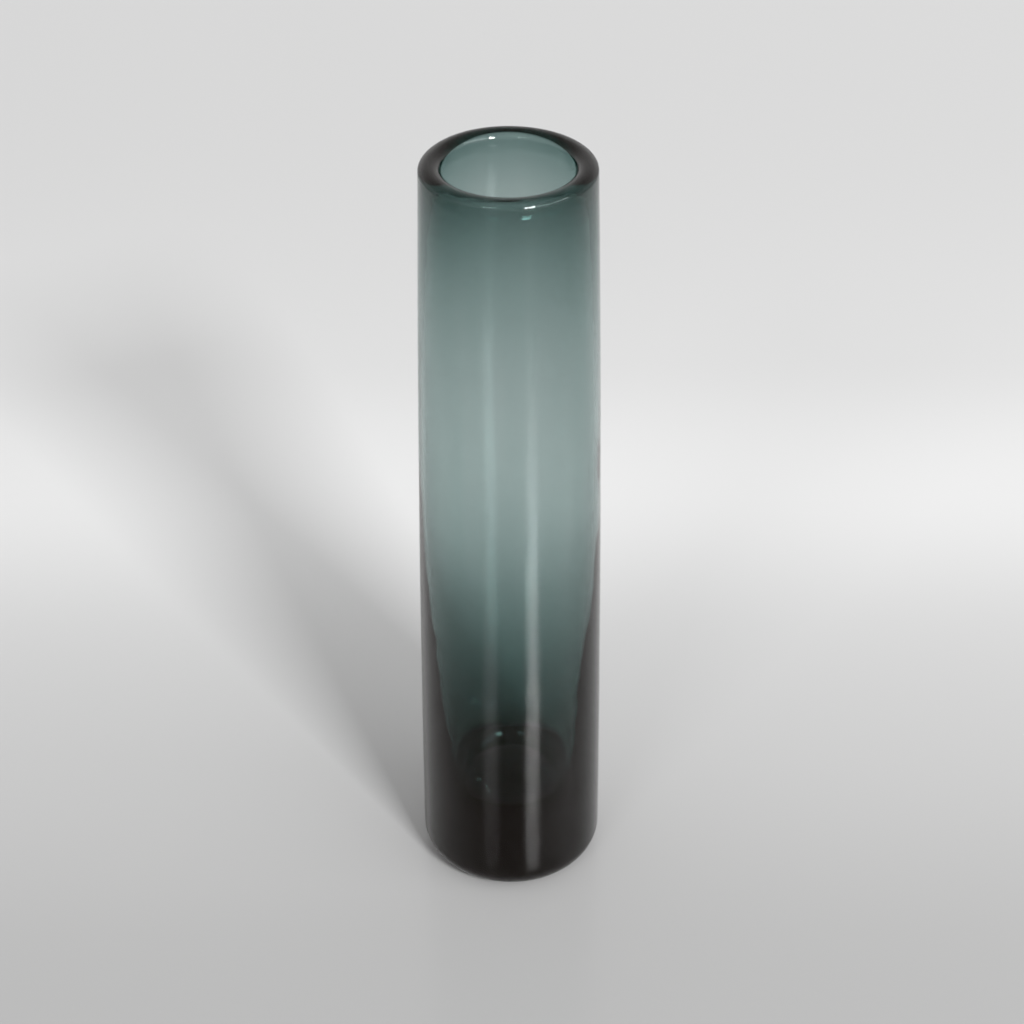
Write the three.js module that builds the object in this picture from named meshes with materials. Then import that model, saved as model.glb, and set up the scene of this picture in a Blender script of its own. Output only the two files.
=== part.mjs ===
// A tall cylinder vase in one piece of smoke-tinted glass, free-standing.
//
// The outside tapers gently from foot to rim with a slight barrel. The wall is thinnest at the
// waist, swells into a fire-polished bead round the mouth, and thickens steadily downwards to a
// rounded cavity floor over a heavy solid base. The underside is ground to a flat standing ring
// around a shallow hollow.
//
// Millimetres, +Z up. The origin is on the axis, in the plane of the standing ring.

import * as THREE from 'three';

// Outside
const height = 250;             // standing ring to crest of the rim
const footRadius = 29;          // outside radius just above the heel
const rimRadius = 25.4;         // outside radius just below the rim
const barrel = 0.65;            // how far the outside stands proud of a straight taper
const heelRound = 8.5;          // rounding between the wall and the underside

// Rim
const rimWall = 6.6;            // thickness of the bead, outside to mouth
const crestInset = 3.3;         // outside of the rim to the crest
const outerLipDrop = 2.3;       // crest down to where the outside becomes straight
const innerLipDrop = 2.6;       // crest down to the narrowest part of the mouth
const beadDrop = 6.5;           // crest down to the underside of the bead
const beadUndercut = 0.7;       // how much wider the cavity is there than at the mouth

// Cavity, from the bead down
const beadSweep = 15;           // height over which the bead thins into the wall
const beadFlare = 3.2;          // how much it thins over that height
const neckReach = 0.6;          // share of the way up to the bead that the wall stays thin
const waistWall = 1.8;          // thinnest wall
const waistHeight = 145;        // height at which the wall is thinnest
const waistReach = 0.35;        // share of the way down to the shoulder that the wall stays thin
const shoulderRise = 15;        // from the cavity floor up to where its rounding begins
const shoulderWall = 8;         // wall there
const shoulderLean = 0.1;       // inward lean of the cavity's side there, as a slope
const shoulderReach = 0.35;     // share of the way up to the waist that it keeps that lean
const cornerDrop = 10;          // how far the side runs on down before the floor takes over
const floorReach = 12;          // how far out from the axis the floor stays level
const cavityFloor = 21;         // thickness of solid glass at the middle of the base

// Underside
const ringWidth = 5;            // width of the flat standing ring
const undersideHollow = 1.8;    // depth of the ground hollow inside the ring

// Fineness of the facets
const sides = 72;
const quarterTurn = Math.PI / 2;

const point = (radius, z) => new THREE.Vector2(radius, z);

// Outside radius at a height: a straight taper plus the barrel, which is widest half-way up.
function outsideRadius(z) {
  const share = (z - heelRound) / (height - outerLipDrop - heelRound);
  const taper = THREE.MathUtils.lerp(footRadius, rimRadius, share);
  return taper + barrel * 4 * share * (1 - share);
}

// A quarter of an ellipse about a centre, from one angle to another.
function ellipseArc(centre, radiusX, radiusZ, fromAngle, toAngle) {
  const clockwise = toAngle < fromAngle;
  return new THREE.EllipseCurve(centre.x, centre.y, radiusX, radiusZ, fromAngle, toAngle, clockwise);
}

// The underside: the shallow hollow, the flat standing ring and the rounded heel.
function undersideStretches() {
  const ringOutside = footRadius - heelRound;
  const ringInside = ringOutside - ringWidth;
  const hollowTop = point(0, undersideHollow);
  const hollowEdge = point(ringInside, 0);
  const hollowShoulder = point(ringInside / 2, undersideHollow);
  const hollow = new THREE.QuadraticBezierCurve(hollowTop, hollowShoulder, hollowEdge);
  const ring = new THREE.LineCurve(hollowEdge, point(ringOutside, 0));
  const heel = ellipseArc(point(ringOutside, heelRound), heelRound, heelRound, -quarterTurn, 0);
  return [[hollow, 5], [ring, 1], [heel, 6]];
}

// The outside wall, as a quadratic curve that passes through the barrel's widest point.
function wallStretches() {
  const bottom = point(footRadius, heelRound);
  const top = point(rimRadius, height - outerLipDrop);
  const middleHeight = (bottom.y + top.y) / 2;
  const bulge = point((footRadius + rimRadius) / 2 + 2 * barrel, middleHeight);
  return [[new THREE.QuadraticBezierCurve(bottom, bulge, top), 10]];
}

// The rim: over the crest from the outside to the mouth, then round the bead's underside.
function rimStretches() {
  const crestRadius = rimRadius - crestInset;
  const mouthRadius = rimRadius - rimWall;
  const outerCentre = point(crestRadius, height - outerLipDrop);
  const innerCentre = point(crestRadius, height - innerLipDrop);
  const innerWidth = crestRadius - mouthRadius;
  const outerLip = ellipseArc(outerCentre, crestInset, outerLipDrop, 0, quarterTurn);
  const innerLip = ellipseArc(innerCentre, innerWidth, innerLipDrop, quarterTurn, 2 * quarterTurn);
  const mouth = point(mouthRadius, height - innerLipDrop);
  const turn = point(mouthRadius, height - (innerLipDrop + beadDrop) / 2);
  const underBead = point(mouthRadius + beadUndercut, height - beadDrop);
  const bead = new THREE.QuadraticBezierCurve(mouth, turn, underBead);
  return [[outerLip, 6], [innerLip, 6], [bead, 3]];
}

// Points on a Bezier curve, in order, without its last point. The controls are points too.
function curvePoints(controls, steps) {
  const points = [];
  for (let i = 0; i < steps; i += 1) {
    let row = controls;
    while (row.length > 1) {
      row = row.slice(1).map((control, k) => row[k].clone().lerp(control, i / steps));
    }
    points.push(row[0]);
  }
  return points;
}

// The same, for controls that hold a wall thickness instead of a radius.
function wallPoints(controls, steps) {
  return curvePoints(controls, steps).map(({ x, y }) => point(outsideRadius(y) - x, y));
}

// The cavity: down the wall from the bead to the waist and on to the shoulder, then the floor.
function cavityPoints() {
  const { lerp } = THREE.MathUtils;
  const underBead = point(rimWall - beadUndercut, height - beadDrop);
  const beadEnd = point(underBead.x - beadFlare, underBead.y - beadSweep);
  const neck = point(waistWall, lerp(waistHeight, underBead.y, neckReach));
  const waist = point(waistWall, waistHeight);

  const shoulderHeight = cavityFloor + shoulderRise;
  const belowWaist = point(waistWall, lerp(waistHeight, shoulderHeight, waistReach));
  const rise = (waistHeight - shoulderHeight) * shoulderReach;
  const aboveShoulder = point(shoulderWall - shoulderLean * rise, shoulderHeight + rise);
  const shoulder = point(shoulderWall, shoulderHeight);

  const floorEdge = point(outsideRadius(shoulderHeight) - shoulderWall, shoulderHeight);
  const corner = point(floorEdge.x - shoulderLean * cornerDrop, shoulderHeight - cornerDrop);
  const levelEdge = point(floorReach, cavityFloor);
  const middle = point(0, cavityFloor);

  return [
    ...wallPoints([underBead, beadEnd, neck, waist], 12),
    ...wallPoints([waist, belowWaist, aboveShoulder, shoulder], 8),
    ...curvePoints([floorEdge, corner, levelEdge, middle], 10),
    middle,
  ];
}

// Joins everything into one outline that starts and ends on the axis.
function vaseOutline() {
  const stretches = [...undersideStretches(), ...wallStretches(), ...rimStretches()];
  const outside = stretches.flatMap(([curve, steps]) => curve.getPoints(steps).slice(0, -1));
  return [...outside, ...cavityPoints()];
}

function buildVaseBody() {
  const geometry = new THREE.LatheGeometry(vaseOutline(), sides);
  geometry.rotateX(quarterTurn);
  const smokeGlass = new THREE.MeshStandardMaterial({
    color: 0x4f6362,
    roughness: 0.04,
    metalness: 0,
    transparent: true,
    opacity: 0.6,
  });
  const body = new THREE.Mesh(geometry, smokeGlass);
  body.name = 'vase_body';
  return body;
}

const vase = new THREE.Group();
vase.name = 'cylinder_vase';
vase.add(buildVaseBody());

export default vase;
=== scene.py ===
# A tall cylinder vase in smoke-tinted glass, standing on a pale floor with painted light and shade.
#
# The vase is one closed mesh, turned from an outline and then made slightly uneven, as blown
# glass is. One glass material tints it by depth, so that thin walls are pale and the solid base
# is nearly black. Metres, +Z up, in the frame of the imported model.

import math

import bmesh
import bpy
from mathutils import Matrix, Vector, noise


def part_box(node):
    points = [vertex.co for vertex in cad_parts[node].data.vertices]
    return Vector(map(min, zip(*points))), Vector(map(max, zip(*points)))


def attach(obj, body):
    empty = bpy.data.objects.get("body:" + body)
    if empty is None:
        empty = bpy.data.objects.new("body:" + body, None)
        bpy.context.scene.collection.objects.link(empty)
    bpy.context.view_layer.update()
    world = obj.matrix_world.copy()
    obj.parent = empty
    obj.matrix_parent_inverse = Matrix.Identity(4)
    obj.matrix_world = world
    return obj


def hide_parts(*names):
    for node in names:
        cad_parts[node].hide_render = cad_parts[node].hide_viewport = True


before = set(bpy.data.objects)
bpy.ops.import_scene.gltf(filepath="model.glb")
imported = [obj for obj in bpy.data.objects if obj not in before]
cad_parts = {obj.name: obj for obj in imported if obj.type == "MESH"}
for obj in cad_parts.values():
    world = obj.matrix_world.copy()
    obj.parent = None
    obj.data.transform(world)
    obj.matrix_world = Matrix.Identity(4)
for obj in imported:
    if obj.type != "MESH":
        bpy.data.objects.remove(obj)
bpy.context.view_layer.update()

MM = 0.001

# Overall sizes, from the frame
LOW_CORNER, HIGH_CORNER = (Vector(corner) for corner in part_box("vase_body"))
HEIGHT = HIGH_CORNER.z - LOW_CORNER.z
FOOT_RADIUS = (HIGH_CORNER.x - LOW_CORNER.x) / 2

# Outside
RIM_RADIUS = 25.4 * MM          # just below the rim
BARREL = 0.65 * MM              # how far the outside stands proud of a straight taper
HEEL_ROUND = 8.5 * MM           # rounding between the wall and the underside

# Rim
RIM_WALL = 6.6 * MM             # thickness of the bead, outside to mouth
CREST_INSET = 3.3 * MM          # outside of the rim to the crest
OUTER_LIP_DROP = 2.3 * MM       # crest down to where the outside becomes straight
INNER_LIP_DROP = 2.6 * MM       # crest down to the narrowest part of the mouth
BEAD_DROP = 6.5 * MM            # crest down to the underside of the bead
BEAD_UNDERCUT = 0.7 * MM        # how much wider the cavity is there than at the mouth

# Cavity, from the bead down
BEAD_SWEEP = 15 * MM            # height over which the bead thins into the wall
BEAD_FLARE = 3.2 * MM           # how much it thins over that height
NECK_REACH = 0.6                # share of the way up to the bead that the wall stays thin
WAIST_WALL = 1.8 * MM           # thinnest wall
WAIST_HEIGHT = 145 * MM         # height at which the wall is thinnest
WAIST_REACH = 0.35              # share of the way down to the shoulder that it stays thin
SHOULDER_RISE = 15 * MM         # cavity floor up to where its rounding begins
SHOULDER_WALL = 8 * MM          # wall there
SHOULDER_LEAN = 0.1             # inward lean of the cavity's side there, as a slope
SHOULDER_REACH = 0.35           # share of the way up to the waist that it keeps that lean
CORNER_DROP = 10 * MM           # how far the side runs on down before the floor takes over
FLOOR_REACH = 12 * MM           # how far out from the axis the floor stays level
CAVITY_FLOOR = 21 * MM          # solid glass at the middle of the base

# Underside
RING_WIDTH = 5 * MM             # flat standing ring
UNDERSIDE_HOLLOW = 1.8 * MM     # depth of the ground hollow inside the ring

# Fineness of the mesh: facets round the axis, then rings along each stretch of the outline
SIDES = 288
HOLLOW_STEPS = 12
RING_STEPS = 4
HEEL_STEPS = 14
WALL_STEPS = 60
LIP_STEPS = 14
BEAD_STEPS = 8
NECK_STEPS = 44
TAPER_STEPS = 30
FLOOR_STEPS = 30

# Unevenness of blown glass
SWELL = 0.22 * MM               # depth of the broad swells
SWELL_SIZE = 34 * MM            # distance from one to the next
RIPPLE = 0.04 * MM              # depth of the fine ripple on top of them
RIPPLE_SIZE = 6 * MM
OUTSIDE_SHARE = 0.25            # how much of it the smoother outside has
CALM_ENDS = 15 * MM             # it fades out this close to the foot and the crest
DRIFT_SHIFTS = (120, 130, 140)  # where in the noise each direction of the drift is read

# Glass
GLASS_IOR = 1.52
ABSORBED = (0.0, 0.23, 0.21, 1)
ABSORPTION_DENSITY = 240
STREAK_SCALE = (160, 160, 14)   # streaks of tint, drawn out along the vase
STREAK_DETAIL = 3
STREAK_RANGE = (0.35, 0.7)
STREAK_PALE = (1, 1, 1, 1)
STREAK_DEEP = (0.955, 0.975, 0.97, 1)
SMUDGE_SCALE = 55
SMUDGE_DETAIL = 4
SMUDGE_RANGE = (0.56, 0.74)
SMUDGE_ROUGHNESS = 0.025
GROUND_ROUGHNESS = 0.2
GROUND_EDGE = 0.25 * MM         # width over which the ground underside turns to clear glass

# Floor greys, from in front of the vase to behind it, as (distance, grey). These are painted light and
# shade: a painted pool of light behind the vase with a bright painted band in it, painted shade in
# front, and far edges painted lighter to fade into the sky.
FLOOR_RADIUS = 12
FLOOR_SIDES = 96
FLOOR_GAP = 0.05 * MM
FLOOR_ROUGHNESS = 0.2
FLOOR_FRONT = -1.5
FLOOR_BACK = 1.5
FLOOR_PAINTED_LIGHT = [
    (-1.4, 0.90), (-0.9, 0.66), (-0.5, 0.48), (-0.2, 0.41), (-0.05, 0.44), (0.03, 0.55),
    (0.12, 0.61), (0.2, 0.85), (0.3, 0.68), (0.6, 0.68), (0.9, 0.74), (1.4, 0.90),
]

# Studio sky, from the horizon to overhead, as (height of the direction, grey)
SKY_TONES = [(0, 0.68), (0.12, 0.80), (0.85, 0.48)]

# Soft boxes that face the vase, as (name, azimuth, elevation, width, depth, radiance). Azimuth 0
# is the camera's side, and positive is to its right.
SOFT_BOXES = [
    ("key", 28, 35, 0.84, 0.56, 84),
    ("window", 62, 35, 3.0, 0.8, 4),
    ("fill", -26, 36, 1.0, 0.45, 13),
]
LIGHT_DISTANCE = 4.0

# Camera
LENS = 84.3
SENSOR_WIDTH = 36
CAMERA_BACK = 0.603
CAMERA_UP = 0.550
CAMERA_PITCH = 34.75
CAMERA_YAW = -0.193
CAMERA_ROLL = 0.19

# Levels below which the picture is black
BLACK_LEVEL = (0.0142, 0.016, 0.017)


# ---------------------------------------------------------------- outline

def lerp(a, b, share):
    return a + (b - a) * share


def between(p, q, share):
    """The point part of the way from p to q."""
    return (lerp(p[0], q[0], share), lerp(p[1], q[1], share))


def bezier(controls, steps):
    """Points along a Bezier curve of any degree, without its last point."""
    curve = []
    for i in range(steps):
        row = list(controls)
        while len(row) > 1:
            row = [between(p, q, i / steps) for p, q in zip(row, row[1:])]
        curve.append(row[0])
    return curve


def arc(centre, radius_x, radius_z, start, end, steps):
    """Points along part of an ellipse, angles in degrees, without its last point."""
    points = []
    for i in range(steps):
        angle = math.radians(lerp(start, end, i / steps))
        points.append((centre[0] + radius_x * math.cos(angle), centre[1] + radius_z * math.sin(angle)))
    return points


def outside_radius(z):
    """A straight taper plus the barrel, which is widest half-way up."""
    share = (z - HEEL_ROUND) / (HEIGHT - OUTER_LIP_DROP - HEEL_ROUND)
    return lerp(FOOT_RADIUS, RIM_RADIUS, share) + BARREL * 4 * share * (1 - share)


def underside():
    """The shallow hollow, the flat standing ring and the rounded heel."""
    ring_outside = FOOT_RADIUS - HEEL_ROUND
    ring_inside = ring_outside - RING_WIDTH
    hollow_shoulder = (ring_inside / 2, UNDERSIDE_HOLLOW)
    hollow = bezier([(0, UNDERSIDE_HOLLOW), hollow_shoulder, (ring_inside, 0)], HOLLOW_STEPS)
    ring = bezier([(ring_inside, 0), (ring_outside, 0)], RING_STEPS)
    heel = arc((ring_outside, HEEL_ROUND), HEEL_ROUND, HEEL_ROUND, -90, 0, HEEL_STEPS)
    return hollow + ring + heel


def outside_wall():
    """The outside, as a quadratic curve that passes through the barrel's widest point."""
    top = HEIGHT - OUTER_LIP_DROP
    bulge = ((FOOT_RADIUS + RIM_RADIUS) / 2 + 2 * BARREL, (HEEL_ROUND + top) / 2)
    return bezier([(FOOT_RADIUS, HEEL_ROUND), bulge, (RIM_RADIUS, top)], WALL_STEPS)


def rim():
    """Over the crest from the outside to the mouth, then round the bead's underside."""
    crest = RIM_RADIUS - CREST_INSET
    mouth = RIM_RADIUS - RIM_WALL
    outer_centre = (crest, HEIGHT - OUTER_LIP_DROP)
    inner_centre = (crest, HEIGHT - INNER_LIP_DROP)
    outer_lip = arc(outer_centre, CREST_INSET, OUTER_LIP_DROP, 0, 90, LIP_STEPS)
    inner_lip = arc(inner_centre, crest - mouth, INNER_LIP_DROP, 90, 180, LIP_STEPS)
    turn = (mouth, HEIGHT - (INNER_LIP_DROP + BEAD_DROP) / 2)
    under_bead = (mouth + BEAD_UNDERCUT, HEIGHT - BEAD_DROP)
    bead = bezier([(mouth, HEIGHT - INNER_LIP_DROP), turn, under_bead], BEAD_STEPS)
    return outer_lip + inner_lip + bead


def inside_wall(controls, steps):
    """Points inside the wall, for controls that hold a wall thickness instead of a radius."""
    return [(outside_radius(z) - thickness, z) for thickness, z in bezier(controls, steps)]


def cavity():
    """Down the wall from the bead to the waist and on to the shoulder, then the floor."""
    under_bead = (RIM_WALL - BEAD_UNDERCUT, HEIGHT - BEAD_DROP)
    bead_end = (under_bead[0] - BEAD_FLARE, under_bead[1] - BEAD_SWEEP)
    neck = (WAIST_WALL, lerp(WAIST_HEIGHT, under_bead[1], NECK_REACH))
    waist = (WAIST_WALL, WAIST_HEIGHT)

    shoulder_height = CAVITY_FLOOR + SHOULDER_RISE
    below_waist = (WAIST_WALL, lerp(WAIST_HEIGHT, shoulder_height, WAIST_REACH))
    rise = (WAIST_HEIGHT - shoulder_height) * SHOULDER_REACH
    above_shoulder = (SHOULDER_WALL - SHOULDER_LEAN * rise, shoulder_height + rise)
    shoulder = (SHOULDER_WALL, shoulder_height)

    floor_edge = (outside_radius(shoulder_height) - SHOULDER_WALL, shoulder_height)
    corner = (floor_edge[0] - SHOULDER_LEAN * CORNER_DROP, shoulder_height - CORNER_DROP)
    level_edge = (FLOOR_REACH, CAVITY_FLOOR)
    middle = (0, CAVITY_FLOOR)

    upper = inside_wall([under_bead, bead_end, neck, waist], NECK_STEPS)
    taper = inside_wall([waist, below_waist, above_shoulder, shoulder], TAPER_STEPS)
    floor = bezier([floor_edge, corner, level_edge, middle], FLOOR_STEPS)
    return upper + taper + floor + [middle]


# ---------------------------------------------------------------- vase

def drift(spot):
    """A smooth random vector, always the same at the same place."""
    return Vector([noise.noise(spot + Vector((shift, shift, shift))) for shift in DRIFT_SHIFTS])


def uneven(radius, z, angle):
    """A point of the outline turned to an angle, with the slight unevenness of blown glass."""
    spot = Vector((radius * math.cos(angle), radius * math.sin(angle), z))
    depth = max(0, outside_radius(z) - radius)
    inward = min(1, depth / WAIST_WALL) if z >= CAVITY_FLOOR else 0
    warp = SWELL * drift(spot / SWELL_SIZE) + RIPPLE * drift(spot / RIPPLE_SIZE)
    warp *= lerp(OUTSIDE_SHARE, 1, inward) * min(1, z / CALM_ENDS)
    warp.z *= min(1, (HEIGHT - z) / CALM_ENDS)
    return spot + warp


def turned_ring(bm, radius, z):
    """One ring of vertices round the axis, or a single vertex on it."""
    count = 1 if radius == 0 else SIDES
    return [bm.verts.new(uneven(radius, z, 2 * math.pi * i / count)) for i in range(count)]


def join_rings(bm, below, above):
    """The band of faces between two rings; a ring of one vertex closes the surface."""
    for i in range(SIDES):
        j = (i + 1) % SIDES
        if len(below) == 1:
            bm.faces.new((below[0], above[i], above[j]))
        elif len(above) == 1:
            bm.faces.new((below[i], below[j], above[0]))
        else:
            bm.faces.new((below[i], below[j], above[j], above[i]))


def make_vase():
    outline = underside() + outside_wall() + rim() + cavity()
    bm = bmesh.new()
    rings = [turned_ring(bm, radius, z) for radius, z in outline]
    for below, above in zip(rings, rings[1:]):
        join_rings(bm, below, above)
    bmesh.ops.recalc_face_normals(bm, faces=bm.faces)
    mesh = bpy.data.meshes.new("glass_vase")
    bm.to_mesh(mesh)
    bm.free()
    mesh.shade_smooth()
    vase = bpy.data.objects.new("glass_vase", mesh)
    bpy.context.scene.collection.objects.link(vase)
    return vase


# ---------------------------------------------------------------- materials

def add_node(tree, kind, inputs=None):
    """A new node with some of its inputs set."""
    node = tree.nodes.new(kind)
    for name, value in (inputs or {}).items():
        node.inputs[name].default_value = value
    return node


def add_noise(tree, scale, detail):
    return add_node(tree, "ShaderNodeTexNoise", {"Scale": scale, "Detail": detail})


def add_slope(tree, start, end, top):
    """Turns a value into 0 at start, rising to top at end."""
    limits = {"From Min": start, "From Max": end, "To Max": top}
    return add_node(tree, "ShaderNodeMapRange", limits)


def add_math(tree, operation, first, second):
    node = tree.nodes.new("ShaderNodeMath")
    node.operation = operation
    tree.links.new(first, node.inputs[0])
    tree.links.new(second, node.inputs[1])
    return node.outputs["Value"]


def streaked_tint(tree, place, shader):
    """Faint streaks, drawn out lengthwise, where the tint was not quite stirred in."""
    stretch = add_node(tree, "ShaderNodeMapping", {"Scale": STREAK_SCALE})
    streaks = add_noise(tree, 1, STREAK_DETAIL)
    tint = tree.nodes.new("ShaderNodeValToRGB")
    pale, deep = tint.color_ramp.elements
    pale.position, deep.position = STREAK_RANGE
    pale.color, deep.color = STREAK_PALE, STREAK_DEEP
    tree.links.new(place.outputs["Object"], stretch.inputs["Vector"])
    tree.links.new(stretch.outputs["Vector"], streaks.inputs["Vector"])
    tree.links.new(streaks.outputs["Fac"], tint.inputs["Fac"])
    tree.links.new(tint.outputs["Color"], shader.inputs["Base Color"])


def smudged(tree, place):
    """Roughness of a few faint smudges, left by handling."""
    smudges = add_noise(tree, SMUDGE_SCALE, SMUDGE_DETAIL)
    handled = add_slope(tree, *SMUDGE_RANGE, SMUDGE_ROUGHNESS)
    tree.links.new(place.outputs["Object"], smudges.inputs["Vector"])
    tree.links.new(smudges.outputs["Fac"], handled.inputs["Value"])
    return handled.outputs["Result"]


def ground_underneath(tree, place):
    """Roughness of the ground underside: the standing ring and the hollow inside it."""
    ring_outside = FOOT_RADIUS - HEEL_ROUND
    height = tree.nodes.new("ShaderNodeSeparateXYZ")
    low = add_slope(tree, UNDERSIDE_HOLLOW + GROUND_EDGE, UNDERSIDE_HOLLOW, 1)
    across = tree.nodes.new("ShaderNodeVectorMath")
    across.operation = "MULTIPLY"
    across.inputs[1].default_value = (1, 1, 0)
    radius = tree.nodes.new("ShaderNodeVectorMath")
    radius.operation = "LENGTH"
    near = add_slope(tree, ring_outside + GROUND_EDGE, ring_outside, GROUND_ROUGHNESS)
    tree.links.new(place.outputs["Object"], height.inputs["Vector"])
    tree.links.new(height.outputs["Z"], low.inputs["Value"])
    tree.links.new(place.outputs["Object"], across.inputs[0])
    tree.links.new(across.outputs["Vector"], radius.inputs[0])
    tree.links.new(radius.outputs["Value"], near.inputs["Value"])
    return add_math(tree, "MULTIPLY", low.outputs["Result"], near.outputs["Result"])


def new_material(name):
    """A material with nodes, and its tree and shader."""
    material = bpy.data.materials.new(name)
    material.use_nodes = True
    tree = material.node_tree
    return material, tree, tree.nodes["Principled BSDF"]


def smoke_glass():
    """Clear fire-polished glass that absorbs light by depth, matt where it is ground."""
    material, tree, shader = new_material("smoke_glass")
    shader.inputs["IOR"].default_value = GLASS_IOR
    shader.inputs["Transmission Weight"].default_value = 1
    dye = {"Color": ABSORBED, "Density": ABSORPTION_DENSITY}
    absorption = add_node(tree, "ShaderNodeVolumeAbsorption", dye)
    output = tree.nodes["Material Output"]
    tree.links.new(absorption.outputs["Volume"], output.inputs["Volume"])
    place = tree.nodes.new("ShaderNodeTexCoord")
    streaked_tint(tree, place, shader)
    finish = add_math(tree, "MAXIMUM", smudged(tree, place), ground_underneath(tree, place))
    tree.links.new(finish, shader.inputs["Roughness"])
    return material


def grey_ramp(tree, tones, interpolation):
    """A colour ramp through greys, each given as (position, grey)."""
    node = tree.nodes.new("ShaderNodeValToRGB")
    node.color_ramp.interpolation = interpolation
    stops = node.color_ramp.elements
    stops.remove(stops[1])
    for i, (position, grey) in enumerate(tones):
        stop = stops[0] if i == 0 else stops.new(position)
        stop.position = position
        stop.color = (grey, grey, grey, 1)
    return node


def floor_painted_light():
    """Pale satin card whose grey is painted light and shade, a little brighter behind the vase than in
    front of it.
    """
    material, tree, shader = new_material("floor_painted_light")
    shader.inputs["Roughness"].default_value = FLOOR_ROUGHNESS
    length = FLOOR_BACK - FLOOR_FRONT
    tones = [((distance - FLOOR_FRONT) / length, grey) for distance, grey in FLOOR_PAINTED_LIGHT]
    place = tree.nodes.new("ShaderNodeTexCoord")
    split = tree.nodes.new("ShaderNodeSeparateXYZ")
    share = add_slope(tree, FLOOR_FRONT, FLOOR_BACK, 1)
    # The ramp paints a pool of light behind the vase and shade in front of it into the floor's grey.
    ramp = grey_ramp(tree, tones, "B_SPLINE")
    tree.links.new(place.outputs["Object"], split.inputs["Vector"])
    tree.links.new(split.outputs["Y"], share.inputs["Value"])
    tree.links.new(share.outputs["Result"], ramp.inputs["Fac"])
    tree.links.new(ramp.outputs["Color"], shader.inputs["Base Color"])
    return material


vase = make_vase()
vase.data.materials.append(smoke_glass())
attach(vase, "root")
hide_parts("vase_body")


# ---------------------------------------------------------------- floor, light and camera

def make_floor():
    below = (0, 0, -FLOOR_GAP)
    bpy.ops.mesh.primitive_circle_add(
        vertices=FLOOR_SIDES, radius=FLOOR_RADIUS, fill_type="NGON", location=below)
    floor = bpy.context.active_object
    floor.name = "floor"
    floor.data.materials.append(floor_painted_light())


def make_soft_box(name, azimuth, elevation, width, depth, radiance):
    around, up = math.radians(azimuth), math.radians(elevation)
    aim = Vector((0, 0, HEIGHT / 2))
    level = math.cos(up)
    away = Vector((math.sin(around) * level, -math.cos(around) * level, math.sin(up)))
    light = bpy.data.lights.new(name, "AREA")
    light.shape = "RECTANGLE"
    light.size = width
    light.size_y = depth
    light.energy = radiance * math.pi * width * depth
    lamp = bpy.data.objects.new(name, light)
    lamp.location = aim + away * LIGHT_DISTANCE
    lamp.rotation_euler = away.to_track_quat("Z", "Y").to_euler()
    bpy.context.scene.collection.objects.link(lamp)


def make_sky():
    """A plain studio: pale round the horizon and darker overhead."""
    world = bpy.data.worlds.new("studio")
    world.use_nodes = True
    tree = world.node_tree
    place = tree.nodes.new("ShaderNodeTexCoord")
    split = tree.nodes.new("ShaderNodeSeparateXYZ")
    ramp = grey_ramp(tree, SKY_TONES, "EASE")
    tree.links.new(place.outputs["Generated"], split.inputs["Vector"])
    tree.links.new(split.outputs["Z"], ramp.inputs["Fac"])
    tree.links.new(ramp.outputs["Color"], tree.nodes["Background"].inputs["Color"])
    bpy.context.scene.world = world


def make_camera():
    camera = bpy.data.cameras.new("camera")
    camera.sensor_width = SENSOR_WIDTH
    camera.lens = LENS
    turns = (90 - CAMERA_PITCH, CAMERA_ROLL, CAMERA_YAW)
    holder = bpy.data.objects.new("camera", camera)
    holder.location = (0, -CAMERA_BACK, CAMERA_UP)
    holder.rotation_euler = [math.radians(turn) for turn in turns]
    bpy.context.scene.collection.objects.link(holder)
    bpy.context.scene.camera = holder


def set_black_level():
    settings = bpy.context.scene.view_settings
    settings.view_transform = "Standard"
    settings.use_curve_mapping = True
    settings.curve_mapping.black_level = BLACK_LEVEL
    settings.curve_mapping.update()


make_floor()
make_sky()
for soft_box in SOFT_BOXES:
    make_soft_box(*soft_box)
make_camera()
set_black_level()
